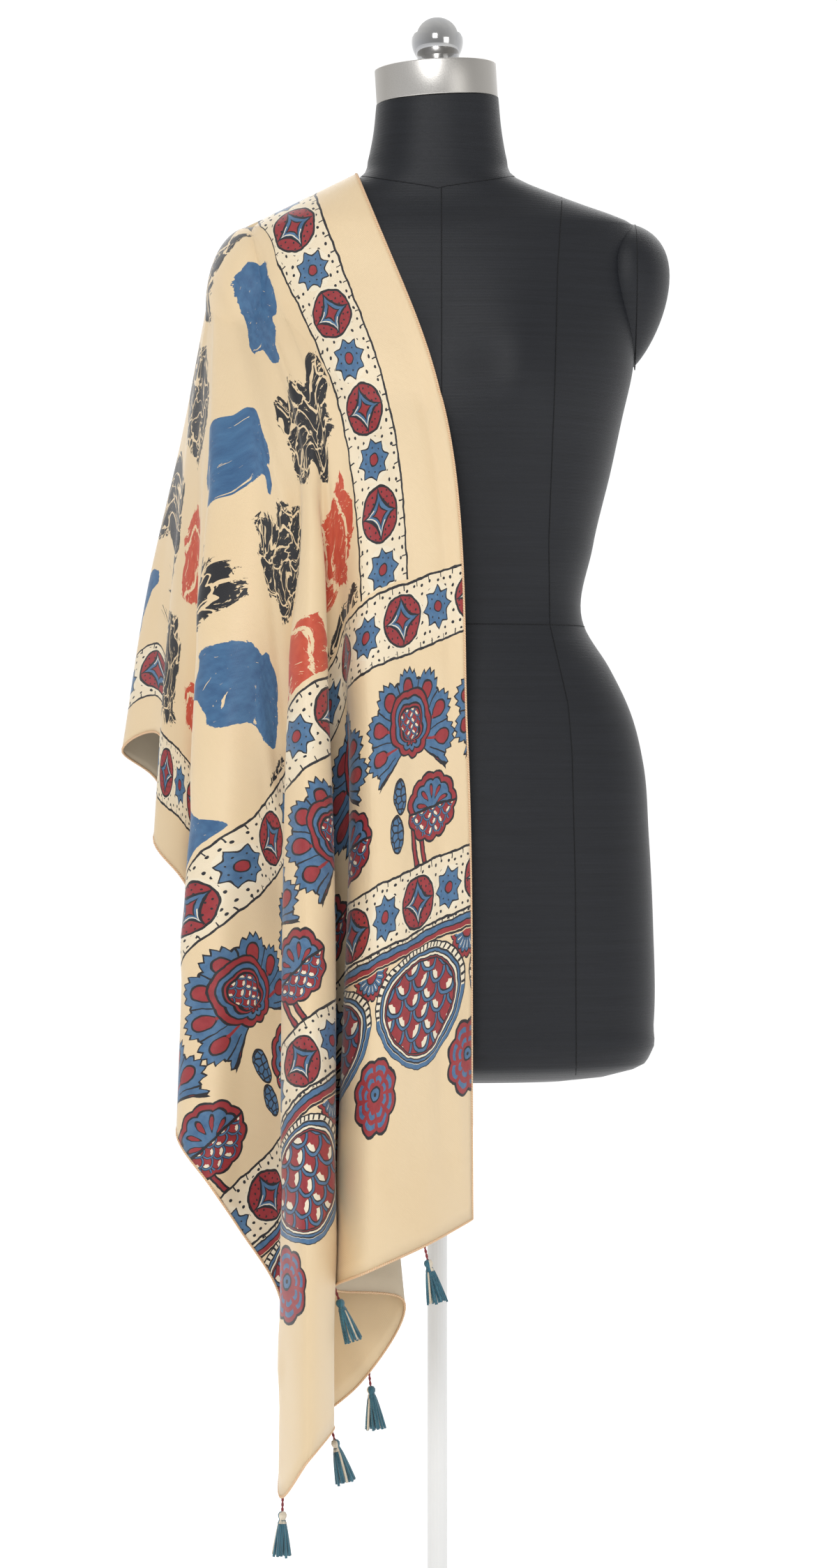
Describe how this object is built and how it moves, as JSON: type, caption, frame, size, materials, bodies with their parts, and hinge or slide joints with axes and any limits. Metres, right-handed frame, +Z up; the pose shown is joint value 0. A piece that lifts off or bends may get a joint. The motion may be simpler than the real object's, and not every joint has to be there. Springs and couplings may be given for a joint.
{
  "type": "stole on a dress form",
  "caption": "Printed satin stole with tasselled ends, draped over one shoulder of a limbless dress form on a stand.",
  "frame": {"origin": "centre of the stand base's underside, on the floor below the pole", "axes": "+Z up along the pole, -Y towards the viewer at the form's front, +X to the viewer's right"},
  "size_m": [0.5165, 0.4449, 1.6],
  "materials": {
    "satin": "printed satin, soft sheen, overlocked edge",
    "tassel_yarn": "matt twisted yarn",
    "form_jersey": "close black jersey over a smooth shell",
    "brushed_steel": "brushed",
    "polished_steel": "polished",
    "stand_enamel": "satin white enamel"
  },
  "bodies": {
    "root": {"stole_front": "satin", "stole_side": "satin", "stole_back": "satin", "torso": "form_jersey", "arm_cap_left": "form_jersey", "arm_cap_right": "form_jersey", "neck_cap": "brushed_steel", "finial": "polished_steel", "pole": "stand_enamel", "base": "stand_enamel", "tassel_front_1": "tassel_yarn", "tassel_front_2": "tassel_yarn", "tassel_front_3": "tassel_yarn", "tassel_front_4": "tassel_yarn", "tassel_front_5": "tassel_yarn", "tassel_back_1": "tassel_yarn", "tassel_back_2": "tassel_yarn", "tassel_back_3": "tassel_yarn", "tassel_back_4": "tassel_yarn", "tassel_back_5": "tassel_yarn"}
  },
  "joints": []
}
